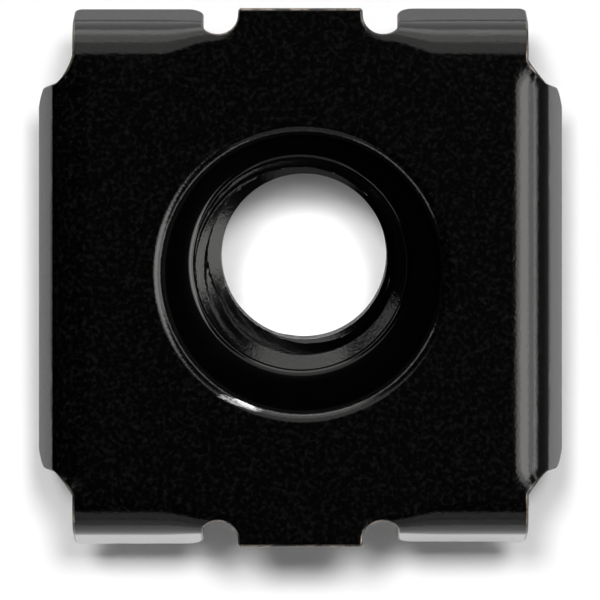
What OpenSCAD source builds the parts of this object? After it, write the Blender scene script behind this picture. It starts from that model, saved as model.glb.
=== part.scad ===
// Cage nut for a rack rail with square holes: a square threaded nut held loosely in a
// cage that is folded from one blank of spring steel. Millimetres, +Z up. The cage's
// back plate is on top and its two wings point down, so the part stands on the wings'
// lips. The origin is at the bottom, in the middle.

/* [Rail] */
// Side of the square hole that the wings pass through
rail_hole_w = 9.5; // [8:0.1:11]
// Gap between a wing and the side of the rail's hole
wing_play = 0.15; // [0.05:0.05:0.3]
// Thickest rail sheet that fits between the shoulders and the lips
rail_grip = 2.4; // [1.6:0.1:4]

/* [Nut] */
// Nominal diameter of the thread
thread_d = 5; // [4:0.5:6]
// Pitch of the thread
thread_pitch = 0.8; // [0.5:0.05:1]
// Distance across the flats of the square nut
nut_w = 10.6; // [9.8:0.1:12]
// Thickness of the square part
nut_t = 3.2; // [2.4:0.1:4.5]
// Radius of the nut's upright corners
nut_corner_r = 0.9; // [0.3:0.1:1.5]
// Diameter of the round boss on the rail's side
boss_d = 7.8; // [7:0.1:8.2]
// Height of the boss
boss_h = 1; // [0.4:0.1:1.6]
// Bevel round the end of the boss
boss_bevel = 0.25; // [0.1:0.05:0.4]
// Diameter of the countersink at each end of the thread
sink_d = 5.5; // [5.2:0.1:7]
// Angle of the countersinks, from side to side
sink_angle = 90; // [80:5:120]
// Height that the turned bevel takes off the corners of the nut's back face
corner_bevel_h = 0.6; // [0.3:0.1:1]

/* [Play of the nut in the cage] */
// Gap between the nut's side and a wall, at the fold of the back plate
side_play = 0.42; // [0.2:0.02:0.8]
// Gap between the nut's side and an ear, at the fold of the back plate
ear_play = 0.67; // [0.3:0.01:1]
// Gap between the nut and the back plate when the nut lies on the shoulders
nut_float = 0.4; // [0.2:0.05:0.8]
// Where the loose nut lies, to the right of the middle
nut_shift_x = 0.09; // [-0.1:0.01:0.1]
// Where the loose nut lies, behind the middle
nut_shift_y = 0.52; // [-0.5:0.01:0.55]

/* [Sheet] */
// Thickness of the spring steel
sheet_t = 0.45; // [0.35:0.05:0.5]
// Inside radius of the folds above and below each wall
wall_bend_r = 0.48; // [0.36:0.04:0.6]
// Inside radius of the ears' folds
ear_bend_r = 0.52; // [0.4:0.02:0.6]
// Inside radius of the fold from the shoulder into the wing
wing_bend_r = 0.25; // [0.15:0.05:0.4]
// Inside radius of the fold from the wing into its lip
lip_bend_r = 0.3; // [0.2:0.05:0.4]
// Angle by which the walls and the ears lean outwards
lean = 8.4; // [4:0.2:10]

/* [Back plate] */
// Diameter of the round hole for the end of the screw
plate_hole_d = 6.8; // [6.2:0.1:7.6]
// Where the hole's middle lies, behind the middle of the plate
plate_hole_y = 0.1; // [-0.2:0.05:0.2]
// Radius that the punch leaves on the hole's upper edge
hole_edge_r = 0.38; // [0.2:0.02:0.4]
// Width of the flat tab in the middle of each free side
tab_w = 3.12; // [2.4:0.02:3.6]
// Distance over the two tabs
tab_span = 13.28; // [12.8:0.02:14]

/* [Walls and wings] */
// Width of the straps that form the walls
strap_w = 9.46; // [8.6:0.02:9.6]
// Width of the shoulders and the wings below them
wing_w = 8.7; // [8:0.1:9.2]
// How much wider than the wing the fold above its shoulder is
fold_flare = 0.08; // [0.04:0.02:0.2]
// Height over which a wall narrows from the strap to the shoulder
taper_l = 0.9; // [0.5:0.1:1.4]
// Angle by which each lip turns out from its wing
lip_turn = 75; // [60:1:85]
// Length of the flat part of each lip
lip_l = 0.9; // [0.5:0.1:1.2]
// Radius of the lips' corners
lip_corner_r = 0.6; // [0.2:0.1:0.8]

/* [Ears] */
// Distance over the outer sides of a pair of ears
ear_span = 11.3; // [10.8:0.02:11.6]
// Length of the flat part of each ear
ear_l = 2.35; // [1.5:0.05:3]
// Radius of the ears' lower corners
ear_corner_r = 0.35; // [0.1:0.05:0.6]
// Width of the half-round notch between an ear and the tab
notch_w = 0.86; // [0.6:0.02:1.2]
// Distance between the centres of two notches across the plate
notch_span = 13.02; // [12.6:0.02:13.4]
// Radius of the hollow corner between an ear and a strap
relief_r = 0.74; // [0.5:0.01:0.9]
// Length over which an ear's fold tightens beside the notch
fold_blend_l = 1.1; // [0.8:0.1:1.6]
// Inside radius of the ear's fold right beside the notch
fold_tight_r = 0.12; // [0.05:0.01:0.3]

/* [Hidden] */
$fn = 96;
// The hair by which a cut passes the face that it opens
cut_over = 0.5;

// A place where pieces meet is kept to a thousandth, so that their faces share one plane
function place(value) = round(1000 * value) / 1000;

// The nut
minor_d = thread_d - 1.0825 * thread_pitch;
sink_h = (sink_d - minor_d) / 2 / tan(sink_angle / 2);

// Heights, from the lips' lower edges up
lip_h = place((lip_bend_r + sheet_t) * sin(lip_turn) + lip_l * cos(lip_turn));
wing_l = rail_grip - wing_bend_r - lip_bend_r;
shoulder_z = lip_h + wing_l + wing_bend_r;
nut_z = shoulder_z + sheet_t;
nut_room_h = nut_t + nut_float;
top_z = nut_z + nut_room_h + sheet_t;

// The strap: back plate, wall, shoulder, wing and lip
wall_fold_x = place(nut_w / 2 + side_play - wall_bend_r * cos(lean));
wall_l = (nut_room_h - 2 * wall_bend_r) / cos(lean);
wing_x = rail_hole_w / 2 - wing_play;
shoulder_l = wall_fold_x + wall_l * sin(lean) - wing_x - wing_bend_r;
shoulder_fold_w = wing_w + fold_flare;

// The ears: where the folds start, and where an ear's face would meet the plate's top
fold_angle = 90 - lean;
fold_reach = tan(fold_angle / 2);
ear_fold_r = ear_bend_r + sheet_t;
ear_fold_y = place(nut_w / 2 + ear_play - ear_bend_r * cos(lean));
ear_corner_y = ear_fold_y + ear_fold_r * fold_reach;
ear_reach = ear_fold_r * fold_reach + ear_l;
// The notch beside the tab: a round bottom that runs into the ear's straight side
notch_r = notch_w / 2;
notch_x = tab_w / 2 + notch_r;
notch_y = notch_span / 2;
notch_side_y = notch_y - notch_r / 5;
ear_in_x = place(notch_x + sqrt(notch_r ^ 2 - (notch_y - notch_side_y) ^ 2));
ear_w = ear_span / 2 - ear_in_x;
// The straight lap that the pieces of a fold keep at either side of it
lap = 0.1;
plate_end_y = ear_fold_y - lap;

// Steps of an ear's fold, those of them that the notch leaves beside the ear, and the
// shares of a corner's radius and of the notch at which sections stand
FOLD_STEPS = 8;
NOTCH_STEPS = 5;
CORNER_STEPS = [0, 0.14, 0.37, 0.66, 1];
RUNOUT_STEPS = [0, 0.26, 0.5, 0.7, 0.86, 1];

// Runs a child on both sides of the middle, in X
module both_sides() {
    children();
    mirror([1, 0, 0])
        children();
}

// Runs a child at all four corners
module four_corners() {
    both_sides() {
        children();
        mirror([0, 1, 0])
            children();
    }
}

// A flat run of sheet along +X with its outer face at Y = 0 and its width along Z. The
// corners at its far end are rounded by end_r.
module flat_run(run, width, end_r = 0) {
    rotate([90, 0, 0])
        linear_extrude(sheet_t) {
            translate([0, -width / 2])
                square([run - end_r, width]);
            if (end_r > 0) {
                translate([run - end_r, -width / 2 + end_r])
                    square([end_r, width - 2 * end_r]);
                for (side = [-1, 1])
                    translate([run - end_r, side * (width / 2 - end_r)])
                        circle(end_r);
            }
        }
}

// A fold of the sheet about the Z axis with the inside radius r, from the angle start
// through turn degrees
module fold(r, start, turn, width) {
    translate([0, 0, -width / 2])
        rotate_extrude(angle = turn, start = start)
            translate([r, 0])
                square([sheet_t, width]);
}

// Walks along a strip of sheet and draws it, from the step i on. A step is [straight
// run, turn of the fold after it, inside radius of that fold, width]. A turn above 0
// goes down, one below 0 goes up, and the last step has none. end_r rounds the corners
// at the strip's end, and a child starts there.
module strip(steps, end_r = 0, i = 0) {
    run = steps[i][0];
    turn = steps[i][1];
    r = steps[i][2];
    width = steps[i][3];
    more = i < len(steps) - 1;
    if (run > 0)
        flat_run(run, width, more ? 0 : end_r);
    if (turn > 0)
        translate([run, -sheet_t - r]) {
            fold(r, 90 - turn, turn, width);
            if (more)
                rotate(-turn)
                    translate([0, sheet_t + r])
                        strip(steps, end_r, i + 1)
                            children();
        }
    if (turn < 0)
        translate([run, r]) {
            fold(r, -90, -turn, width);
            if (more)
                rotate(-turn)
                    translate([0, -r])
                        strip(steps, end_r, i + 1)
                            children();
        }
    if (!more)
        translate([run, 0, 0])
            children();
}

// The back plate with its two tabs and the round hole, whose upper edge is drawn in
module plate() {
    hole_r = plate_hole_d / 2;
    difference() {
        translate([0, 0, top_z - sheet_t])
            linear_extrude(sheet_t)
                difference() {
                    union() {
                        square([2 * wall_fold_x, 2 * plate_end_y], center = true);
                        square([tab_w, tab_span], center = true);
                        square([2 * notch_x, 2 * notch_y], center = true);
                    }
                    four_corners()
                        translate([notch_x, notch_y])
                            circle(notch_r);
                    translate([0, plate_hole_y])
                        circle(hole_r);
                }
        translate([0, plate_hole_y, top_z - hole_edge_r])
            rotate_extrude()
                translate([hole_r, 0])
                    difference() {
                        translate([-cut_over, 0])
                            square([cut_over + hole_edge_r, hole_edge_r + cut_over]);
                        translate([hole_edge_r, 0])
                            circle(hole_edge_r);
                    }
    }
}

// The fold from the plate into a wall, as long as the plate. Its ends are cut back to
// the strap by hollow corners, square to the sheet halfway round the fold.
module wall_fold() {
    outer_r = wall_bend_r + sheet_t;
    ear_side_angle = asin((ear_span / 2 - wall_fold_x) / outer_r);
    relief_x = outer_r * sin(ear_side_angle - fold_angle / 2) + relief_r;
    difference() {
        rotate([90, 0, 0])
            strip([[0, fold_angle, wall_bend_r, 2 * plate_end_y]]);
        for (side = [-1, 1])
            translate([0, side * ear_fold_y, -outer_r])
                rotate([0, fold_angle / 2, 0])
                    translate([relief_x, 0, 0])
                        cylinder(r = relief_r, h = 2 * outer_r);
    }
}

// The wall's flat sheet, which narrows towards the shoulder
module wall() {
    rotate([90, 0, 0])
        linear_extrude(sheet_t)
            polygon([
                [0, -strap_w / 2],
                [wall_l - taper_l, -strap_w / 2],
                [wall_l - taper_l / 2, -strap_w / 2 + (strap_w - shoulder_fold_w) / 6],
                [wall_l, -shoulder_fold_w / 2],
                [wall_l, shoulder_fold_w / 2],
                [wall_l - taper_l / 2, strap_w / 2 - (strap_w - shoulder_fold_w) / 6],
                [wall_l - taper_l, strap_w / 2],
                [0, strap_w / 2]
            ]);
}

// The rest of a strap: wall, shoulder, wing and lip
module strap() {
    translate([0, 0, -sheet_t - wall_bend_r])
        rotate([90, 0, 0])
            rotate(-fold_angle)
                translate([0, sheet_t + wall_bend_r]) {
                    wall();
                    translate([wall_l, 0])
                        strip([
                            [0, 90 + lean, wall_bend_r, shoulder_fold_w],
                            [shoulder_l, -90, wing_bend_r, wing_w],
                            [wing_l, -lip_turn, lip_bend_r, wing_w],
                            [lip_l, 0, 0, wing_w]
                        ], lip_corner_r);
                }
}

// How far a value has come from a to b, from 0 to 1, with a soft start and end
function ease(value, a, b) =
    let (u = max(0, min(1, (value - a) / (b - a))))
    u * u * (3 - 2 * u);

// Inside radius of an ear's fold at a place in X: tight beside the notch
function fold_r(x) =
    fold_tight_r + (ear_bend_r - fold_tight_r) * ease(x, ear_in_x, ear_in_x + fold_blend_l);

// A pair of points, on the sheet's outer face and straight below it on the inner one,
// where the sheet lies at a place in X and slopes down by an angle
function sheet_pair(x, y, z, slope) = [
    [x, place(y), place(z)],
    [x, place(y - sheet_t * sin(slope)), place(z - sheet_t * cos(slope))]
];

// A section through an ear, from the plate's end to the ear's lower edge. The corners at
// the ear's ends are cut away by a rounding.
function ear_section(x) =
    let (
        r = fold_r(x) + sheet_t,
        start_y = ear_corner_y - r * fold_reach,
        to_side = min(x - ear_in_x, ear_span / 2 - x, ear_corner_r),
        cut = ear_corner_r - sqrt(max(0, ear_corner_r ^ 2 - (ear_corner_r - to_side) ^ 2)),
        flat_l = ear_reach - r * fold_reach - cut
    )
    [
        sheet_pair(x, plate_end_y, top_z, 0),
        for (i = [0:FOLD_STEPS])
            let (slope = fold_angle * i / FOLD_STEPS)
            sheet_pair(x, start_y + r * sin(slope), top_z - r * (1 - cos(slope)), slope),
        sheet_pair(
            x,
            start_y + r * sin(fold_angle) + flat_l * cos(fold_angle),
            top_z - r * (1 - cos(fold_angle)) - flat_l * sin(fold_angle),
            fold_angle
        )
    ];

// A section through the sheet between the tab and the ear, from the plate's end to the
// notch. There the ear's fold runs out: share is 0 at the notch's bottom and 1 at the ear.
function runout_section(x) =
    let (
        r = fold_tight_r + sheet_t,
        start_y = ear_corner_y - r * fold_reach,
        share = ease(x, notch_x, ear_in_x),
        full_l = 2 * r * fold_reach,
        notch_l = notch_y - sqrt(notch_r ^ 2 - (x - notch_x) ^ 2) - start_y,
        part = x < ear_in_x ? notch_l / full_l : NOTCH_STEPS / FOLD_STEPS,
        arc_share = r * fold_angle * PI / 180 / full_l
    )
    [
        sheet_pair(x, plate_end_y, top_z, 0),
        sheet_pair(x, start_y, top_z, 0),
        for (i = [1:NOTCH_STEPS])
            let (
                slope = share * fold_angle * part * i / NOTCH_STEPS,
                l = full_l * part * i / NOTCH_STEPS * (1 - share * (1 - arc_share)),
                bend_r = slope > 0 ? l / (slope * PI / 180) : 0
            )
            slope > 0
                ? sheet_pair(
                    x,
                    start_y + bend_r * sin(slope),
                    top_z - bend_r * (1 - cos(slope)),
                    slope
                )
                : sheet_pair(x, start_y + l, top_z, 0)
    ];

// Sheet between sections that stand square to X and have the same count of point pairs
module sheet_loft(sections) {
    m = len(sections) - 1;
    n = len(sections[0]) - 1;
    points = [for (section = sections) for (pair = section) each pair];
    // The index of a point: its section, its pair, and 0 for the outer face or 1
    function at(i, k, side) = 2 * ((n + 1) * i + k) + side;
    faces = [
        for (i = [0:m - 1], k = [0:n - 1]) each [
            [at(i, k, 0), at(i, k + 1, 0), at(i + 1, k + 1, 0), at(i + 1, k, 0)],
            [at(i, k, 1), at(i + 1, k, 1), at(i + 1, k + 1, 1), at(i, k + 1, 1)]
        ],
        for (i = [0:m - 1]) each [
            [at(i, 0, 0), at(i + 1, 0, 0), at(i + 1, 0, 1), at(i, 0, 1)],
            [at(i, n, 0), at(i, n, 1), at(i + 1, n, 1), at(i + 1, n, 0)]
        ],
        for (k = [0:n - 1]) each [
            [at(0, k, 0), at(0, k, 1), at(0, k + 1, 1), at(0, k + 1, 0)],
            [at(m, k, 0), at(m, k + 1, 0), at(m, k + 1, 1), at(m, k, 1)]
        ]
    ];
    polyhedron(points, faces);
}

// One ear beside the tab, and the strip of sheet above the notch in which its fold runs out
module ear() {
    corner = [for (share = CORNER_STEPS) place(ear_corner_r * share)];
    sheet_loft([
        for (step = corner) ear_section(ear_in_x + step),
        ear_section(place(ear_in_x + ear_corner_r + fold_blend_l / 3)),
        ear_section(place(ear_in_x + fold_blend_l)),
        for (i = [0:len(corner) - 1]) ear_section(ear_span / 2 - corner[len(corner) - 1 - i])
    ]);
    sheet_loft([
        for (share = RUNOUT_STEPS)
            runout_section(place(notch_x + (ear_in_x - notch_x) * share))
    ]);
}

module spring_cage() {
    color("#1b1b1c") {
        plate();
        both_sides()
            translate([wall_fold_x, 0, top_z]) {
                wall_fold();
                strap();
            }
        four_corners()
            ear();
    }
}

// The turned bevel that takes the corners off the nut's back face
module corner_bevel() {
    corner_r = nut_w / 2 * sqrt(2) - nut_corner_r * (sqrt(2) - 1);
    flat_r = corner_r - corner_bevel_h / tan(30);
    cylinder(r = corner_r + cut_over, h = nut_t - corner_bevel_h);
    translate([0, 0, nut_t - corner_bevel_h])
        cylinder(r1 = corner_r, r2 = flat_r, h = corner_bevel_h);
}

module square_nut() {
    across = nut_w - 2 * nut_corner_r;
    whole_h = boss_h + nut_t;
    color("#2a2a2b")
        translate([nut_shift_x, nut_shift_y, nut_z])
            difference() {
                union() {
                    intersection() {
                        linear_extrude(nut_t) {
                            square([nut_w, across], center = true);
                            square([across, nut_w], center = true);
                            four_corners()
                                translate([across / 2, across / 2])
                                    circle(nut_corner_r);
                        }
                        corner_bevel();
                    }
                    translate([0, 0, boss_bevel - boss_h])
                        cylinder(d = boss_d, h = boss_h);
                    translate([0, 0, -boss_h])
                        cylinder(d1 = boss_d - 2 * boss_bevel, d2 = boss_d, h = boss_bevel);
                }
                translate([0, 0, -boss_h - cut_over])
                    cylinder(d = minor_d, h = whole_h + 2 * cut_over);
                translate([0, 0, nut_t - sink_h])
                    cylinder(d1 = minor_d, d2 = sink_d, h = sink_h);
                translate([0, 0, -boss_h])
                    cylinder(d1 = sink_d, d2 = minor_d, h = sink_h);
            }
}

spring_cage();
square_nut();
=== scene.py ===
"""Looks of the rack cage nut: a folded cage of black spring steel around a loose square nut.

Lengths are millimetres up to the point where a mesh is made, and metres in Blender.
"""

import math

import bmesh
import bpy
import numpy as np
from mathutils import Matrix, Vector


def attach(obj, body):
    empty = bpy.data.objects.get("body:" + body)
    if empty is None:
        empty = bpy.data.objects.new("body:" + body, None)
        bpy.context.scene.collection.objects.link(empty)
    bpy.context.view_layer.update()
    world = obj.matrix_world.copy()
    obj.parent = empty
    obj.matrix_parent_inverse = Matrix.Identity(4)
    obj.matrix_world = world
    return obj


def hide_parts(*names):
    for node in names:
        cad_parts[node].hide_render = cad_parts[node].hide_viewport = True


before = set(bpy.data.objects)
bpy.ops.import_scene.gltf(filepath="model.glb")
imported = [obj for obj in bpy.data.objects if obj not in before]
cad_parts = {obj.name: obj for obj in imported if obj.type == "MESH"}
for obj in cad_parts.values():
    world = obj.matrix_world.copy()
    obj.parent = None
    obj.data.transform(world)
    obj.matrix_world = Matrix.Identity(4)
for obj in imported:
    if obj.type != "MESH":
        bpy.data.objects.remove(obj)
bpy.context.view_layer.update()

MM = 0.001

# The sheet. Most values are those of the CAD source. The strap, the tabs, the round hole and
# the corners differ from it a little, because the real cage isn't quite symmetric.
SHEET_T = 0.45
LEAN = 8.4
LEAN_COS = math.cos(math.radians(LEAN))
LEAN_SIN = math.sin(math.radians(LEAN))
FOLD_ANGLE = math.radians(90 - LEAN)
NUT_W = 10.6
WALL_BEND_R = 0.48
EAR_BEND_R = 0.52
EAR_TIGHT_R = 0.12
WING_BEND_R = 0.25
LIP_BEND_R = 0.3
LIP_TURN = math.radians(75)
LIP_L = 0.9
LIP_CORNER_R = 0.6
RAIL_GRIP = 2.4
RAIL_HOLE_W = 9.5
WING_PLAY = 0.15
WING_X = RAIL_HOLE_W / 2 - WING_PLAY
WING_W = 8.7
STRAP_W = 9.64
STRAP_DRAFT = 0.05
TAPER_L = 0.9
TAPER_CURVE = 1.6
NUT_T = 3.2
NUT_FLOAT = 0.4
# The room beside the nut. The side's is 0.0005 less than the CAD's, to stay inside its box.
SIDE_PLAY = 0.4195
EAR_PLAY = 0.67
HOLE_R = 3.43
HOLE_X = 0.05
HOLE_Y = 0.12
HOLE_EDGE_R = 0.3
TAB_W = 3.12
TAB_SPAN = 13.34
TAB_CORNER_R = 0.09
NOTCH_R = 0.43
NOTCH_SPAN = 13.02
NOTCH_X = TAB_W / 2 + NOTCH_R
NOTCH_Y = NOTCH_SPAN / 2
EAR_SPAN = 11.3
EAR_L = 2.35
EAR_BLEND_L = 1.1
# An ear's corners are parts of an ellipse: how wide, and how far along the ear
EAR_OUT_CORNER = (0.2, 0.42)
EAR_IN_CORNER = (0.4, 1.1)
# How the wall's fold fades out towards the ear. It starts FADE_W inside the strap's edge, and
# further down the wall, between the distances FADE_S from the fold, it moves out to that
# edge. It ends FADE_CLEAR before the ear's fold.
FADE_W = 0.25
FADE_S = (0.3, 0.9)
FADE_CLEAR = 0.02
# The ear's fold starts to turn this far inside the tab's edge, and its radius starts to grow
# this far before the ear's inner edge
EAR_TURN_L = 0.1
EAR_WIDEN_L = 0.2
# The four corners, by the signs of x and y: radius and centre of the hollow, and how much
# further the ear is folded, in degrees
CORNERS = {
    (1, 1): (1.1, 6.61, 0.0),
    (-1, 1): (0.84, 6.48, 0.4),
    (-1, -1): (1.1, 6.61, 1.7),
    (1, -1): (1.1, 6.61, 2.7),
}

NOTCH_SIDE_Y = NOTCH_Y - NOTCH_R / 5
EAR_IN_X = NOTCH_X + math.sqrt(NOTCH_R**2 - (NOTCH_Y - NOTCH_SIDE_Y) ** 2)
LIP_H = round((LIP_BEND_R + SHEET_T) * math.sin(LIP_TURN) + LIP_L * math.cos(LIP_TURN), 3)
WING_L = RAIL_GRIP - WING_BEND_R - LIP_BEND_R
SHOULDER_Z = LIP_H + WING_L + WING_BEND_R
NUT_Z = SHOULDER_Z + SHEET_T
NUT_ROOM_H = NUT_T + NUT_FLOAT
TOP_Z = NUT_Z + NUT_ROOM_H + SHEET_T
WALL_FOLD_X = NUT_W / 2 + SIDE_PLAY - WALL_BEND_R * LEAN_COS
WALL_L = (NUT_ROOM_H - 2 * WALL_BEND_R) / LEAN_COS
SHOULDER_L = WALL_FOLD_X + WALL_L * LEAN_SIN - WING_X - WING_BEND_R
EAR_FOLD_Y = NUT_W / 2 + EAR_PLAY - EAR_BEND_R * LEAN_COS
FOLD_REACH = math.tan(FOLD_ANGLE / 2)
EAR_CORNER_Y = EAR_FOLD_Y + (EAR_BEND_R + SHEET_T) * FOLD_REACH
EAR_END_V = EAR_CORNER_Y + (EAR_BEND_R + SHEET_T) * FOLD_REACH + EAR_L

# The strap's outer face as a path: straight run, then a turn (down is positive) at the
# radius of that face
STRAP_STEPS = [
    (0.0, FOLD_ANGLE, WALL_BEND_R + SHEET_T),
    (WALL_L, math.pi - FOLD_ANGLE, WALL_BEND_R + SHEET_T),
    (SHOULDER_L, -math.pi / 2, WING_BEND_R),
    (WING_L, -LIP_TURN, LIP_BEND_R),
    (LIP_L, 0.0, 0.0),
]
STRAP_STARTS = np.cumsum(
    [0.0] + [straight + abs(turn) * r for straight, turn, r in STRAP_STEPS]
)

# Rounding of the sheet's punched edge, on the outer face and on the inner one, and the
# distances of the rings of vertices beside it
OUTER_EDGE_R = 0.075
INNER_EDGE_R = 0.03
EDGE_RINGS = (0.0, 0.006, 0.018, 0.036, 0.056, 0.08)
# Where the cut edge shows worn steel, and the share of the hole's edge that is dull
WORN_W = 0.06
PUNCHED_SHARE = 0.2
# Stands for a vertex that is away from an edge, in millimetres
FAR_OFF = 9.0
HOLE_SIDES = 192
# The grid of the flat parts, and the finer ones where the ears' folds run out and in the
# corners
GRID = 0.4
EAR_GRID = 0.055
CORNER_GRID = 0.08


def smooth(value, low, high):
    """A soft step from 0 at low to 1 at high."""
    share = np.clip((value - low) / (high - low), 0, 1)
    return share * share * (3 - 2 * share)


def strap_path(s):
    """The strap's outer face at the distance s from the first fold: reach and height."""
    x, z = np.zeros_like(s), np.zeros_like(s)
    px, pz, angle = 0.0, 0.0, 0.0
    for (straight, turn, r), start in zip(STRAP_STEPS, STRAP_STARTS):
        along = np.clip(s - start, 0, straight)
        here = s >= start
        x = np.where(here, px + along * math.cos(angle), x)
        z = np.where(here, pz - along * math.sin(angle), z)
        px, pz = px + straight * math.cos(angle), pz - straight * math.sin(angle)
        if r > 0:
            side = 1 if turn > 0 else -1
            bent = np.clip((s - start - straight) / r, 0, abs(turn)) * side
            here = s >= start + straight
            x = np.where(here, px + side * r * (np.sin(angle + bent) - math.sin(angle)), x)
            z = np.where(here, pz + side * r * (np.cos(angle + bent) - math.cos(angle)), z)
            px += side * r * (math.sin(angle + turn) - math.sin(angle))
            pz += side * r * (math.cos(angle + turn) - math.cos(angle))
            angle += turn
    return x, z


def folded(u, v):
    """Where the blank's outer face lies once it is folded. u and v lie on the flat blank, u
    towards the straps and v towards the ears."""
    side_u, side_v = np.sign(u), np.sign(v)
    u, v = np.abs(u), np.abs(v)
    # The wall's fold fades out towards the ear, beside the hollow corner
    s = np.maximum(u - WALL_FOLD_X, 0)
    reach, drop = strap_path(s)
    fade_v = STRAP_W / 2 - FADE_W * (1 - smooth(s, *FADE_S))
    wall = 1 - smooth(v, fade_v, EAR_FOLD_Y - FADE_CLEAR)
    x = np.where(u > WALL_FOLD_X, u + (WALL_FOLD_X + reach - u) * wall, u)
    z = drop * wall
    # The ear's fold is tight beside the notch and runs out above it
    share = smooth(u, TAB_W / 2 - EAR_TURN_L, EAR_IN_X)
    widening = smooth(u, EAR_IN_X - EAR_WIDEN_L, EAR_IN_X + EAR_BLEND_L)
    r = SHEET_T + EAR_TIGHT_R + (EAR_BEND_R - EAR_TIGHT_R) * widening
    half = r * FOLD_REACH
    past = v - EAR_CORNER_Y + half
    inside = np.clip(past, 0, 2 * half)
    further = np.radians([[CORNERS[a, b][2] for b in (-1, 1)] for a in (-1, 1)])
    further = further[(side_u > 0).astype(int), (side_v > 0).astype(int)]
    angle = share * (FOLD_ANGLE + further) * inside / (2 * half)
    stretch = 1 - share * (1 - r * FOLD_ANGLE / (2 * half))
    length = inside * stretch
    bend_r = length / np.maximum(angle, 1e-9)
    curved = angle > 1e-6
    after = np.maximum(past - 2 * half, 0)
    y_fold = np.where(curved, bend_r * np.sin(angle), length) + after * np.cos(angle)
    z_fold = np.where(curved, bend_r * (1 - np.cos(angle)), 0) + after * np.sin(angle)
    y = np.where(past > 0, v - past + y_fold, v)
    z = z - np.where(past > 0, z_fold, 0)
    return np.stack([side_u * x, side_v * y, TOP_Z + z], axis=-1)


def face_normals(u, v):
    """Unit normals of the folded outer face."""
    e = 2e-4
    du = folded(u + e, v) - folded(u - e, v)
    dv = folded(u, v + e) - folded(u, v - e)
    n = np.cross(du, dv)
    return n / np.linalg.norm(n, axis=1, keepdims=True)


def arc(cx, cy, r, start, end, step=9):
    """Points of an arc with their normals, which point away from its centre."""
    count = max(2, int(abs(end - start) / step) + 1)
    points = []
    for angle in np.radians(np.linspace(start, end, count)):
        c, s = math.cos(angle), math.sin(angle)
        points.append((cx + r * c, cy + r * s, c, s))
    return points


def run(x0, y0, x1, y1, nx, ny, step=0.25):
    """Points inside a straight run, without its ends, with one normal."""
    count = max(1, int(math.hypot(x1 - x0, y1 - y0) / step))
    return [
        (x0 + (x1 - x0) * i / count, y0 + (y1 - y0) * i / count, nx, ny)
        for i in range(1, count)
    ]


def ear_corner(x, end_v, a, b, start, end):
    """A corner that an ellipse rounds, a wide and b along the ear, with outward normals."""
    points = []
    for angle in np.radians(np.linspace(start, end, 11)):
        c, s = math.cos(angle), math.sin(angle)
        norm = math.hypot(c / a, s / b)
        points.append((x + a * c, end_v - b + b * s, c / a / norm, s / b / norm))
    return points


def quarter_outline(hollow_r, hollow_x):
    """The blank's outline from the middle of a lip to the middle of a tab, with outward
    normals, for one corner. It is drawn where x and y are positive."""
    lip_end = WALL_FOLD_X + STRAP_STARTS[-1]
    wing_y, strap_y = WING_W / 2, STRAP_W / 2
    low_y = strap_y - STRAP_DRAFT
    shoulder_u = WALL_FOLD_X + STRAP_STARTS[1] + WALL_L
    # The first run and the last one cross the middle, and are cut off there
    across = -0.25
    points = run(lip_end, across, lip_end, wing_y - LIP_CORNER_R, 1, 0)
    points += arc(lip_end - LIP_CORNER_R, wing_y - LIP_CORNER_R, LIP_CORNER_R, 0, 90)
    taper_u, taper_l = shoulder_u - TAPER_L, TAPER_L + 0.1
    points += run(lip_end - LIP_CORNER_R, wing_y, taper_u + taper_l, wing_y, 0, 1)
    for share in np.linspace(1, 0, 15):
        slope = (low_y - wing_y) / taper_l * TAPER_CURVE * share**(TAPER_CURVE - 1)
        norm = math.hypot(slope, 1)
        y = low_y - (low_y - wing_y) * share**TAPER_CURVE
        points.append((taper_u + taper_l * share, y, slope / norm, 1 / norm))
    points += run(taper_u, low_y, hollow_x, strap_y, 0.03, 1)
    ear_x = EAR_SPAN / 2
    turn = math.degrees(math.acos((ear_x - hollow_x) / hollow_r))
    hollow = arc(hollow_x, strap_y + hollow_r, hollow_r, 270, 360 - turn, 5)
    points += [(x, y, -nx, -ny) for x, y, nx, ny in hollow]
    hollow_v = strap_y + hollow_r - math.sqrt(hollow_r**2 - (ear_x - hollow_x) ** 2)
    out_w, out_l = EAR_OUT_CORNER
    in_w, in_l = EAR_IN_CORNER
    points += run(ear_x, hollow_v, ear_x, EAR_END_V - out_l, 1, 0, 0.12)
    points += ear_corner(ear_x - out_w, EAR_END_V, out_w, out_l, 0, 90)
    points += run(ear_x - out_w, EAR_END_V, EAR_IN_X + in_w, EAR_END_V, 0, 1)
    points += ear_corner(EAR_IN_X + in_w, EAR_END_V, in_w, in_l, 90, 180)
    points += run(EAR_IN_X, EAR_END_V - in_l, EAR_IN_X, NOTCH_SIDE_Y, -1, 0, 0.12)
    start = math.degrees(math.asin((NOTCH_SIDE_Y - NOTCH_Y) / NOTCH_R))
    notch = arc(NOTCH_X, NOTCH_Y, NOTCH_R, start, -180, 7)
    points += [(x, y, -nx, -ny) for x, y, nx, ny in notch]
    tip_x, tab_y = TAB_W / 2 - TAB_CORNER_R, TAB_SPAN / 2
    points += arc(tip_x, tab_y - TAB_CORNER_R, TAB_CORNER_R, 0, 90, 18)
    points += run(tip_x, tab_y, across, tab_y, 0, 1)
    return [p for p in points if p[0] >= 0 and p[1] >= 0]


def outline():
    """The whole outline, counter-clockwise, as an array of x, y and outward normals."""
    whole = []
    for (side, end), (hollow_r, hollow_x, _) in CORNERS.items():
        quarter = [(side * x, end * y, side * nx, end * ny)
                   for x, y, nx, ny in quarter_outline(hollow_r, hollow_x)]
        whole += quarter if side * end > 0 else reversed(quarter)
    kept = []
    for p, last in zip(whole, whole[-1:] + whole):
        if math.hypot(p[0] - last[0], p[1] - last[1]) > 1e-3:
            kept.append(p)
    return np.array(kept)


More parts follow.
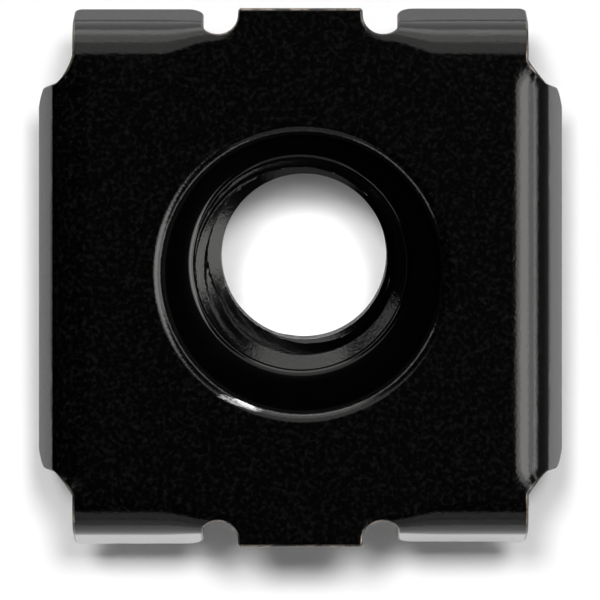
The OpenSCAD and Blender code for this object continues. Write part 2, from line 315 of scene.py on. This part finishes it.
def blank_mesh():
    """The flat blank as bmesh faces with rings along its edges, cut into a grid. Every
    vertex keeps its distance to the outline and to the hole."""
    bm = bmesh.new()
    edge_d = bm.verts.layers.float.new("edge_d")
    hole_d = bm.verts.layers.float.new("hole_d")

    def ring(points, distance, layer, other):
        """A ring of vertices at a distance inside an outline."""
        verts = []
        for x, y, nx, ny in points:
            vert = bm.verts.new((x - nx * distance, y - ny * distance, 0))
            vert[layer] = distance
            vert[other] = FAR_OFF
            verts.append(vert)
        return verts

    def band(outer, inner, flip=False):
        """The faces between two rings."""
        for i in range(len(outer)):
            j = (i + 1) % len(outer)
            loop = [outer[i], outer[j], inner[j], inner[i]]
            bm.faces.new(loop[::-1] if flip else loop)

    points = outline()
    rings = [ring(points, d, edge_d, hole_d) for d in EDGE_RINGS]
    for outer, inner in zip(rings, rings[1:]):
        band(outer, inner)
    hole = [(HOLE_X + HOLE_R * c, HOLE_Y + HOLE_R * s, -c, -s) for c, s in
            ((math.cos(a), math.sin(a))
             for a in np.linspace(0, 2 * math.pi, HOLE_SIDES + 1)[:-1])]
    # Rings down the hole's rounded edge, and one just past it
    steps = [HOLE_EDGE_R * (1 - math.cos(math.radians(a))) for a in range(0, 91, 9)]
    steps += [HOLE_EDGE_R * 1.08]
    hole_rings = [ring(hole, d, hole_d, edge_d) for d in steps]
    for outer, inner in zip(hole_rings, hole_rings[1:]):
        band(outer, inner, flip=True)
    loops = [
        [e for e in bm.edges if e.is_boundary and any(v in chosen for v in e.verts)]
        for chosen in (set(rings[-1]), set(hole_rings[-1]))
    ]
    filled = bmesh.ops.triangle_fill(
        bm, use_beauty=True, use_dissolve=False, edges=loops[0] + loops[1]
    )
    for face in filled["geom"]:
        if isinstance(face, bmesh.types.BMFace) and face.normal.z < 0:
            face.normal_flip()

    def cut(axis, places, keep=lambda c: True):
        """Cuts the faces whose centre keep accepts, along lines on both sides of the middle."""
        for place in places:
            for side in (-1, 1):
                co, no = Vector((0, 0, 0)), Vector((0, 0, 0))
                co[axis], no[axis] = side * place, 1
                faces = [f for f in bm.faces if keep(f.calc_center_median())]
                geom = faces + list({e for f in faces for e in f.edges})
                geom += list({v for f in faces for v in f.verts})
                bmesh.ops.bisect_plane(bm, geom=geom, plane_co=co, plane_no=no, dist=1e-6)

    strap = []
    for (length, turn, r), start in zip(STRAP_STEPS, STRAP_STARTS):
        strap += list(np.linspace(start, start + length, max(2, int(length / GRID))))
        if r > 0:
            count = max(4, int(abs(math.degrees(turn)) / 6))
            strap += list(start + length + np.linspace(0, abs(turn) * r, count + 1))
    strap = sorted({round(WALL_FOLD_X + s, 5) for s in strap if s < STRAP_STARTS[-1] - 0.09})
    reach = (EAR_BEND_R + SHEET_T) * FOLD_REACH
    ears = list(np.linspace(EAR_CORNER_Y - reach, EAR_CORNER_Y + reach, 29))
    ears += list(np.arange(EAR_CORNER_Y + reach + GRID, EAR_END_V - 0.1, GRID))
    blend_end = EAR_IN_X + EAR_BLEND_L
    ear_from, plate_to = 5, 5.3
    cut(0, strap)
    cut(1, ears, lambda c: abs(c.y) > ear_from)
    cut(0, np.arange(TAB_W / 2 - 0.15, blend_end + 0.1, EAR_GRID),
        lambda c: 5.2 < abs(c.y) < 7.6)
    cut(0, np.arange(blend_end + GRID, WALL_FOLD_X, GRID), lambda c: abs(c.y) > ear_from)
    cut(1, np.arange(4.0, 5.45, CORNER_GRID),
        lambda c: abs(c.x) > WALL_FOLD_X - 0.3 and abs(c.y) > 3.9)
    cut(1, np.arange(GRID, plate_to, GRID))
    cut(0, np.arange(GRID, plate_to, GRID), lambda c: abs(c.y) < 5.6)
    bmesh.ops.triangulate(bm, faces=[f for f in bm.faces if len(f.verts) > 4])
    bm.verts.index_update()
    return bm, edge_d, hole_d


def rounding(distance, r):
    """How far a rounded edge of radius r lies below the face at a distance from the edge."""
    inside = np.clip(r - distance, 0, r)
    return r - np.sqrt(np.maximum(r * r - inside * inside, 0))


def make_object(name, verts, faces, material_ids, materials):
    """A smooth mesh object in the scene. material_ids has one number for each face."""
    mesh = bpy.data.meshes.new(name)
    mesh.from_pydata([tuple(p) for p in verts], [], faces)
    for material in materials:
        mesh.materials.append(material)
    mesh.polygons.foreach_set("material_index", material_ids)
    mesh.polygons.foreach_set("use_smooth", [True] * len(mesh.polygons))
    mesh.update()
    obj = bpy.data.objects.new(name, mesh)
    bpy.context.scene.collection.objects.link(obj)
    return obj


def make_cage(materials):
    """The folded sheet: its outer face, its inner face and the punched edge between them."""
    bm, edge_layer, hole_layer = blank_mesh()
    count = len(bm.verts)
    u = np.array([w.co.x for w in bm.verts])
    v = np.array([w.co.y for w in bm.verts])
    edge_d = np.array([w[edge_layer] for w in bm.verts])
    hole_d = np.array([w[hole_layer] for w in bm.verts])
    # Vertices inside the plate have no ring: they lie well away from every edge
    free = (edge_d == 0) & (hole_d == 0)
    edge_d[free] = FAR_OFF
    hole_d[free] = FAR_OFF
    normals = face_normals(u, v)
    base = folded(u, v)
    outer_drop = rounding(edge_d, OUTER_EDGE_R) + rounding(hole_d, HOLE_EDGE_R)
    inner_drop = rounding(np.minimum(edge_d, hole_d), INNER_EDGE_R)
    outer = base - normals * outer_drop[:, None]
    inner = base - normals * (SHEET_T - inner_drop)[:, None]
    verts = np.concatenate([outer, inner]) * MM
    faces, ids = [], []
    for face in bm.faces:
        loop = [w.index for w in face.verts]
        faces.append(loop)
        faces.append([i + count for i in reversed(loop)])
        rim = all(edge_d[i] < WORN_W for i in loop)
        steep = all(hole_d[i] < PUNCHED_SHARE * HOLE_EDGE_R for i in loop)
        ids += [1 if rim else 2 if steep else 0, 0]
    for edge in bm.edges:
        if edge.is_boundary:
            loop = edge.link_loops[0]
            a, b = loop.vert.index, loop.link_loop_next.vert.index
            faces.append([b, a, a + count, b + count])
            ids.append(2 if hole_d[a] < 1e-6 else 1)
    bm.free()
    return make_object("cage_sheet", verts, faces, ids, materials)


# The nut. Its sizes are the CAD's, apart from the countersinks, the thread and its lean.
THREAD_D = 5.0
PITCH = 0.8
# Share of a turn by which the thread is turned about its axis
THREAD_TURN = 0.28
MINOR_R = (THREAD_D - 1.0825 * PITCH) / 2
NUT_CORNER_R = 0.9
BOSS_R = 3.9
BOSS_H = 1.0
BOSS_BEVEL = 0.25
SINK_R = 2.62
# The tapped hole leans a little: how far its upper mouth and its lower end lie aside
SINK_X, SINK_Y = -0.09, -0.18
BORE_Y = 0.1
BEVEL_H = 0.6
BEVEL_SLOPE = math.tan(math.radians(30))
# About how deep the upper countersink reaches. Its shift to the side ends at this depth, and
# the bore's lean begins. Then the depth of its lip.
SINK_H = 0.6
SINK_LIP_H = 0.07
# Fine turning marks on one side of it: their height, and where they are strongest
MARKS_H = 0.018
MARKS_AT = math.radians(172)
NUT_X, NUT_Y = 0.09, 0.52
NUT_TOP = NUT_Z + NUT_T
NUT_LOW = NUT_Z - BOSS_H

# The rounded lip round the upper countersink, from a fine groove outwards: how far out and
# how deep
LIP = ((0, 0.07), (0.012, 0.085), (0.03, 0.062), (0.06, 0.034), (0.1, 0.012), (0.16, 0))


def sink_shift(angle):
    """How much further out the upper countersink lies at an angle, as its centre is aside."""
    return SINK_X * math.cos(angle) + SINK_Y * math.sin(angle)


def sink_radius(depth, angle):
    """Radius of the upper countersink at a depth and an angle. It gets steeper as it meets
    the thread, most of all at the front."""
    steep = 1.15 - 0.6 * max(0, math.cos(angle + math.radians(60)))
    radius = SINK_R - 1.2 * min(depth - SINK_LIP_H, 0.23) - steep * max(depth - 0.3, 0)
    return radius + sink_shift(angle) * max(0, 1 - max(depth - SINK_LIP_H, 0) / SINK_H)


def square_radius(angle):
    """Distance from the nut's axis to its rounded square outline."""
    a = NUT_W / 2
    c, s = abs(math.cos(angle)), abs(math.sin(angle))
    radius = a / max(c, s)
    core = a - NUT_CORNER_R
    if min(c, s) * radius > core:
        along = core * (c + s)
        radius = along + math.sqrt(max(along**2 - 2 * core**2 + NUT_CORNER_R**2, 0))
    return radius


def thread_profile(turn):
    """Depth of the thread groove at a share of the pitch, from 0 at its crest."""
    crest, root = 0.25, 0.125
    flank = (1 - crest - root) / 2
    depth = 0.541 * PITCH
    turn = turn % 1.0
    if turn < crest:
        return 0.0
    if turn < crest + flank:
        return depth * (turn - crest) / flank
    if turn < crest + flank + root:
        return depth
    return depth * (1 - turn) / flank


def make_nut(materials):
    """A square nut whose inside follows the helix of the thread."""
    around = 256
    verts, faces, ids = [], [], []

    def ring(radius_of, height_of, aside=0.0):
        start = len(verts)
        for i in range(around):
            angle = 2 * math.pi * i / around
            r = radius_of(angle)
            z = height_of(angle, r)
            verts.append((NUT_X + r * math.cos(angle), NUT_Y + aside + r * math.sin(angle), z))
        return start

    def band(a, b, material):
        for i in range(around):
            j = (i + 1) % around
            faces.append([a + i, a + j, b + j, b + i])
            ids.append(material)

    corner_r = NUT_W / 2 * math.sqrt(2) - NUT_CORNER_R * (math.sqrt(2) - 1)
    flat_r = corner_r - BEVEL_H / BEVEL_SLOPE
    # The rounded outer edges, the fillet at the boss, the bands beside both, and the lower mouth
    edge, fillet, beside, mouth = 0.06, 0.06, 0.05, 0.03
    lip_r = SINK_R + LIP[-1][0]

    def top_height(_, r):
        return NUT_TOP - max(0, r - flat_r) * BEVEL_SLOPE

    rings = [
        ring(lambda a, w=w: SINK_R + w + sink_shift(a), lambda a, r, d=d: NUT_TOP - d)
        for w, d in LIP
    ]
    for share in (0.15, 0.4, 0.7, 0.85, 0.93, 0.97):
        rings.append(
            ring(
                lambda a, k=share: lip_r * (1 - k) + (square_radius(a) - edge) * k
                + sink_shift(a) * (1 - k),
                top_height,
            )
        )
    rings.append(ring(lambda a: square_radius(a) - edge, top_height))
    for turn in (30, 60, 90):
        t = math.radians(turn)
        rings.append(
            ring(
                lambda a: square_radius(a) - edge * (1 - math.sin(t)),
                lambda a, r: top_height(a, square_radius(a) - edge) - edge * (1 - math.cos(t)),
            )
        )
    # The sides, the underside and the boss. Narrow bands beside each rounded edge keep the
    # flats flat in the shading.
    rings.append(
        ring(square_radius, lambda a, r: top_height(a, square_radius(a) - edge) - edge - beside)
    )
    for inside, z in (
        (0, NUT_Z + edge + beside),
        (0, NUT_Z + edge),
        (edge * 0.3, NUT_Z + edge * 0.3),
        (edge, NUT_Z),
        (edge + beside, NUT_Z),
    ):
        rings.append(ring(lambda a, w=inside: square_radius(a) - w, lambda a, r, h=z: h))
    bevel_z = NUT_LOW + BOSS_BEVEL
    for out, z in (
        (fillet + beside, NUT_Z),
        (fillet, NUT_Z),
        (fillet / 4, NUT_Z - fillet / 4),
        (0, NUT_Z - fillet),
        (0, NUT_Z - fillet - beside),
        (0, bevel_z + 0.03 + beside),
        (0, bevel_z + 0.03),
        (-0.02, bevel_z - 0.02),
        (0.02 - BOSS_BEVEL, NUT_LOW + 0.02),
        (-0.03 - BOSS_BEVEL, NUT_LOW),
        (-0.03 - beside - BOSS_BEVEL, NUT_LOW),
    ):
        rings.append(ring(lambda a, w=out: BOSS_R + w, lambda a, r, h=z: h))
    rings.append(ring(lambda a: SINK_R + 0.02, lambda a, r: NUT_LOW, BORE_Y))
    rings.append(ring(lambda a: SINK_R, lambda a, r: NUT_LOW + mouth, BORE_Y))
    for a, b in zip(rings, rings[1:]):
        band(b, a, 0)

    # The inside: rows along the helix, so that the thread's edges stay crisp
    low, high = NUT_LOW + mouth, NUT_TOP - LIP[0][1]
    rows_per_turn = 32
    steps = int((high - low) / PITCH * rows_per_turn) + rows_per_turn + 2
    grid = []
    for k in range(-rows_per_turn, steps):
        row = []
        for i in range(around + 1):
            z = low + PITCH * (k / rows_per_turn + i / around)
            z_in = min(max(z, low), high)
            depth = NUT_TOP - z_in
            groove = thread_profile(k / rows_per_turn + THREAD_TURN)
            groove = MINOR_R + groove * min(1, max(0, depth - 0.1) / 0.3)
            angle = 2 * math.pi * i / around
            marks = max(0, math.cos(angle - MARKS_AT)) ** 2
            marks *= MARKS_H * math.sin(8 * math.pi * k / rows_per_turn)
            sink = sink_radius(depth, angle) + (marks if 0.08 < depth < 0.75 else 0)
            r = max(groove, sink, SINK_R - z_in + low)
            row.append(len(verts))
            bore_top = NUT_TOP - SINK_H
            y = NUT_Y + BORE_Y * min(1, max(0, (bore_top - z_in) / (bore_top - low)))
            verts.append((NUT_X + r * math.cos(angle), y + r * math.sin(angle), z_in))
        grid.append(row)
    for a, b in zip(grid, grid[1:]):
        for i in range(around):
            faces.append([a[i], b[i], b[i + 1], a[i + 1]])
            ids.append(1)
    obj = make_object("nut_body", np.array(verts) * MM, faces, ids, materials)
    bm = bmesh.new()
    bm.from_mesh(obj.data)
    bmesh.ops.remove_doubles(bm, verts=bm.verts, dist=2e-7)
    bmesh.ops.dissolve_degenerate(bm, edges=bm.edges, dist=1e-7)
    bmesh.ops.recalc_face_normals(bm, faces=bm.faces)
    bm.to_mesh(obj.data)
    bm.free()
    obj.data.set_sharp_from_angle(angle=math.radians(28))
    return obj


# Materials

# The sockets of a mix node that mixes colours: factor, both colours and the result
MIX_FACTOR, MIX_A, MIX_B, MIX_RESULT = 0, 6, 7, 2
# A painted glint on the edge of the round hole: a patch of shiny bare steel where the rim's
# highlight falls. Its middle, turn, size and steel colour
GLINT_X, GLINT_Y, GLINT_DEPTH = -1.515, -3.11, 0.12
GLINT_TURN = math.radians(-21)
GLINT_SIZE = (0.62, 0.085, 0.4)
GLINT_STEEL = (0.6, 0.61, 0.63)


def node(tree, kind, **settings):
    """A new node, with its sockets or its properties set by name."""
    made = tree.nodes.new(kind)
    for name, value in settings.items():
        if name in made.inputs:
            made.inputs[name].default_value = value
        else:
            setattr(made, name, value)
    return made


def black_oxide(
    name, base, roughness, bump, wear_and_glint=None, painted_glint=False, cloudy=0.0, gloss=0.5
):
    """Thin black oxide on steel, with the fine pits that make it speckled, and paler clouds in
    it. Where it wears off in spots, the metal below shows. With painted_glint, a patch of bare
    steel on the hole's edge is a painted highlight."""
    material = bpy.data.materials.new(name)
    material.use_nodes = True
    tree = material.node_tree
    tree.nodes.clear()
    link = tree.links.new
    out = node(tree, "ShaderNodeOutputMaterial")
    shader = node(tree, "ShaderNodeBsdfPrincipled")
    shader.inputs["Base Color"].default_value = (*base, 1)
    shader.inputs["Roughness"].default_value = roughness
    shader.inputs["IOR"].default_value = 1.5
    shader.inputs["Specular IOR Level"].default_value = gloss
    link(shader.outputs[0], out.inputs[0])
    place = node(tree, "ShaderNodeTexCoord")
    fine = node(tree, "ShaderNodeTexNoise", Scale=13000.0, Detail=2.0, Roughness=0.55)
    link(place.outputs["Object"], fine.inputs["Vector"])
    bumps = node(tree, "ShaderNodeBump", Strength=1.0, Distance=bump * MM)
    link(fine.outputs[0], bumps.inputs["Height"])
    link(bumps.outputs[0], shader.inputs["Normal"])
    clouds = node(tree, "ShaderNodeTexNoise", Scale=8500.0, Detail=3.0, Roughness=0.6)
    link(place.outputs["Object"], clouds.inputs["Vector"])
    cloud = node(tree, "ShaderNodeMapRange")
    cloud.inputs["From Min"].default_value = 0.48
    cloud.inputs["From Max"].default_value = 0.78
    link(clouds.outputs[0], cloud.inputs["Value"])
    ground = node(tree, "ShaderNodeMix", data_type="RGBA")
    ground.inputs[MIX_A].default_value = (*base, 1)
    ground.inputs[MIX_B].default_value = (*(c + cloudy for c in base), 1)
    link(cloud.outputs[0], ground.inputs[MIX_FACTOR])
    link(ground.outputs[MIX_RESULT], shader.inputs["Base Color"])
    if painted_glint:
        # A painted highlight on the edge of the hole: bare steel that shines where the rim's
        # highlight falls
        spot = node(tree, "ShaderNodeMapping", vector_type="TEXTURE")
        spot.inputs["Location"].default_value = (
            GLINT_X * MM, GLINT_Y * MM, (TOP_Z - GLINT_DEPTH) * MM
        )
        spot.inputs["Rotation"].default_value = (0, 0, GLINT_TURN)
        spot.inputs["Scale"].default_value = [length * MM for length in GLINT_SIZE]
        link(place.outputs["Object"], spot.inputs["Vector"])
        rough = node(tree, "ShaderNodeTexNoise", Scale=3.0, Detail=3.0)
        link(spot.outputs[0], rough.inputs["Vector"])
        size = node(tree, "ShaderNodeVectorMath", operation="LENGTH")
        link(spot.outputs[0], size.inputs[0])
        ragged = node(tree, "ShaderNodeMath", operation="ADD")
        link(size.outputs["Value"], ragged.inputs[0])
        link(rough.outputs[0], ragged.inputs[1])
        mask = node(tree, "ShaderNodeMapRange")
        mask.inputs["From Min"].default_value = 1.5
        mask.inputs["From Max"].default_value = 1.2
        link(ragged.outputs[0], mask.inputs["Value"])
        wear_and_glint = GLINT_STEEL
    elif wear_and_glint:
        spots = node(tree, "ShaderNodeTexNoise", Scale=2600.0, Detail=4.0, Roughness=0.7)
        link(place.outputs["Object"], spots.inputs["Vector"])
        mask = node(tree, "ShaderNodeMapRange")
        mask.inputs["From Min"].default_value = 0.44
        mask.inputs["From Max"].default_value = 0.6
        link(spots.outputs[0], mask.inputs["Value"])
    # Worn spots, and the painted glint, turn metallic and take the steel's colour
    if wear_and_glint:
        link(mask.outputs[0], shader.inputs["Metallic"])
        tone = node(tree, "ShaderNodeMix", data_type="RGBA")
        link(ground.outputs[MIX_RESULT], tone.inputs[MIX_A])
        tone.inputs[MIX_B].default_value = (*wear_and_glint, 1)
        link(mask.outputs[0], tone.inputs[MIX_FACTOR])
        link(tone.outputs[MIX_RESULT], shader.inputs["Base Color"])
    return material


DEEP_BLACK = (0.0002, 0.0002, 0.0002)
THREAD_BLACK = (0.0004, 0.0004, 0.0004)
BROWN_BLACK = (0.012, 0.01, 0.009)
WORN_STEEL = (0.22, 0.185, 0.155)
# The cage's oxide carries the painted glint on the round hole's edge
CAGE_BLACK = black_oxide("cage_oxide", DEEP_BLACK, 0.15, 0.0042, painted_glint=True, cloudy=0.006)
CAGE_EDGE = black_oxide("cage_cut_edge", BROWN_BLACK, 0.3, 0.004, WORN_STEEL)
CAGE_PUNCHED = black_oxide("cage_punched_hole", DEEP_BLACK, 0.6, 0.004, gloss=0.1)
NUT_BLACK = black_oxide("nut_oxide", DEEP_BLACK, 0.12, 0.0008)
NUT_THREAD = black_oxide("nut_thread", THREAD_BLACK, 0.18, 0.006)


# The stage: floor, backdrop, lamps, and the cards around the object

def plain(name, colour, emission=0.0):
    """A matt material that can shine by itself."""
    material = bpy.data.materials.new(name)
    material.use_nodes = True
    shader = material.node_tree.nodes["Principled BSDF"]
    shader.inputs["Base Color"].default_value = (*colour, 1)
    shader.inputs["Roughness"].default_value = 1.0
    shader.inputs["Specular IOR Level"].default_value = 0.0
    shader.inputs["Emission Color"].default_value = (1, 1, 1, 1)
    shader.inputs["Emission Strength"].default_value = emission
    return material


def stage_mesh(name, verts, faces, material):
    """A mesh object that belongs to the stage and not to the part."""
    mesh = bpy.data.meshes.new(name)
    mesh.from_pydata(verts, [], faces)
    mesh.materials.append(material)
    obj = bpy.data.objects.new(name, mesh)
    bpy.context.scene.collection.objects.link(obj)
    return obj


def card(name, points, shade):
    """A card that only shows in reflections, as a flag beside a product does, or as painted
    shade on the floor. Each four points are a rectangle, and shade is how bright it looks."""
    obj = stage_mesh(name, [(x * MM, y * MM, z * MM) for x, y, z in points],
                     [[4 * i, 4 * i + 1, 4 * i + 2, 4 * i + 3] for i in range(len(points) // 4)],
                     plain(name + "_matte", (0, 0, 0), shade))
    obj.visible_camera = False
    obj.visible_diffuse = False
    obj.visible_shadow = False
    obj.visible_transmission = False


def lamp(name, azimuth, tilt, distance, width, height, radiance):
    """An area lamp aimed at the object. The tilt is counted from straight above. It is
    width wide along the azimuth circle and height high along the tilt."""
    data = bpy.data.lights.new(name, "AREA")
    data.shape = "RECTANGLE"
    data.size, data.size_y = height, width
    data.energy = radiance * math.pi * width * height
    data.color = (1, 0.985, 0.965)
    obj = bpy.data.objects.new(name, data)
    a, t = math.radians(azimuth), math.radians(tilt)
    aim = Vector((0, 0, TOP_Z * MM))
    obj.location = aim + distance * Vector(
        (math.sin(t) * math.cos(a), math.sin(t) * math.sin(a), math.cos(t))
    )
    obj.rotation_euler = (0, t, a)
    bpy.context.scene.collection.objects.link(obj)
    obj.visible_diffuse = False
    obj.visible_camera = False


def span(degrees, distance):
    """The size that covers an angle at a distance."""
    return 2 * distance * math.tan(math.radians(degrees / 2))


cage = make_cage([CAGE_BLACK, CAGE_EDGE, CAGE_PUNCHED])
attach(cage, "root")
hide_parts("spring_cage")
nut = make_nut([NUT_BLACK, NUT_THREAD])
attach(nut, "root")
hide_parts("square_nut")

FLOOR_R = 1.2
floor = stage_mesh(
    "floor",
    [(x * FLOOR_R, y * FLOOR_R, 0) for x, y in ((-1, -1), (1, -1), (1, 1), (-1, 1))],
    [[0, 1, 2, 3]],
    plain("floor_white", (0.9, 0.9, 0.9)),
)
wall_r, wall_h, wall_n = 1.0, 0.3, 64
wall_verts, wall_faces = [], []
for i in range(wall_n):
    a = 2 * math.pi * i / wall_n
    wall_verts += [(wall_r * math.cos(a), wall_r * math.sin(a), z) for z in (0, wall_h)]
    j = (i + 1) % wall_n
    wall_faces.append([2 * i, 2 * i + 1, 2 * j + 1, 2 * j])
stage_mesh(
    "backdrop", wall_verts, wall_faces, plain("backdrop_white", (0.8, 0.8, 0.8), 0.9)
)

# Cards left and right of the object: a grey strip on the floor between near and mid, which is
# painted shadow on the floor beside the object as the reflections see it, then a flag that lies
# on to far and stands up there. Each row is side, name, the flag's height and shade, and the
# strip's shade of painted shadow. CARD_Z is the height of what lies on the floor.
CARD_Z = 0.02
near, mid, far = 6.7, 8.17, 60
for side, name, height, flag, shadow_shade in (
    (-1, "left", 38, 0.0, 0.36),
    (1, "right", 10, 0.08, 0.42),
):
    card("flag_" + name, [
        (side * mid, -9, CARD_Z), (side * far, -26, CARD_Z),
        (side * far, 26, CARD_Z), (side * mid, 9, CARD_Z),
        (side * far, -26, 0), (side * far, 26, 0),
        (side * far, 26, height), (side * far, -26, height),
    ], flag)
    # A strip of painted shadow on the floor, seen only in reflections
    card("painted_shadow_" + name, [
        (side * near, -6, CARD_Z), (side * mid, -6, CARD_Z),
        (side * mid, 6, CARD_Z), (side * near, 6, CARD_Z),
    ], shadow_shade)
# A grey card on the floor behind the object: painted shade on the floor, seen only in the
# reflections of the ears
card("painted_shade_back", [
    (-8, 7.3, CARD_Z), (8, 7.3, CARD_Z), (8, 12.5, CARD_Z), (-8, 12.5, CARD_Z),
], 0.27)
card("flag_front", [(-24, -60, 3), (24, -60, 3), (24, -60, 27), (-24, -60, 27)], 0.55)

# The soft boxes, which only show as reflections. Each row is name, azimuth, tilt, width and
# height in degrees, and radiance. Distances are metres.
BOX_D = 0.6
for name, azimuth, tilt, width, height, radiance in (
    ("box_right_high", 0, 20, 30, 12, 2.2),
    ("box_right", 0, 39, 34, 27, 4.4),
    ("box_right_low", 0, 66, 34, 28, 2.4),
    ("box_back_high", 90, 31, 40, 38, 0.8),
    ("box_back", 90, 60, 50, 24, 1.6),
    ("box_back_low", 90, 83, 50, 24, 1.3),
    ("box_front", -90, 57, 50, 22, 0.45),
):
    lamp(name, azimuth, tilt, BOX_D, span(width, BOX_D), span(height, BOX_D), radiance)

# The floor seen through the nut has a light of its own, because the nut is deep and narrow
disc_r, disc_z, disc_n = 2.6, 0.005, 48
disc_angles = [2 * math.pi * i / disc_n for i in range(disc_n)]
hole_floor = stage_mesh(
    "floor_below_hole",
    [((NUT_X + disc_r * math.cos(a)) * MM, (NUT_Y + disc_r * math.sin(a)) * MM, disc_z * MM)
     for a in disc_angles],
    [list(range(disc_n))],
    floor.data.materials[0],
)
hole_only = bpy.data.collections.new("hole_only")
hole_only.objects.link(hole_floor)

# The key light is a pair of soft boxes overhead, a little behind the object, with a broad
# weak fill. Each row is name, tilt, lean and size in degrees, and strength.
SUNS = [
    ("key_left", 7.7, -5, 6.8, 1.52),
    ("key_right", 7.7, 5, 6.8, 1.52),
    ("fill", 0, 0, 50, 0.3),
    ("hole_left", 3.2, -3.5, 6.5, 0.58),
    ("hole_right", 3.2, 3.5, 6.5, 0.58),
]
for name, tilt, lean, size, strength in SUNS:
    key = bpy.data.objects.new(name, bpy.data.lights.new(name, "SUN"))
    key.data.energy = strength
    key.data.angle = math.radians(size)
    key.rotation_euler = (math.radians(-tilt), math.radians(lean), 0)
    key.visible_glossy = False
    if name.startswith("hole"):
        key.light_linking.receiver_collection = hole_only
    bpy.context.scene.collection.objects.link(key)

world = bpy.data.worlds.new("studio")
world.use_nodes = True
world.node_tree.nodes["Background"].inputs[0].default_value = (0.004, 0.004, 0.004, 1)
bpy.context.scene.world = world

# The camera looks straight down on the back plate
CAMERA_FAR = 250.0
CAMERA_X, CAMERA_Y = -0.01, -0.557
VIEW_W = 14.851
SENSOR_W = 36
camera = bpy.data.objects.new("camera", bpy.data.cameras.new("camera"))
camera.data.sensor_width = SENSOR_W
camera.data.lens = SENSOR_W * CAMERA_FAR / VIEW_W
camera.data.clip_start = 0.001
camera.location = (CAMERA_X * MM, CAMERA_Y * MM, (TOP_Z + CAMERA_FAR) * MM)
bpy.context.scene.collection.objects.link(camera)
bpy.context.scene.camera = camera
bpy.context.scene.view_settings.view_transform = "Standard"
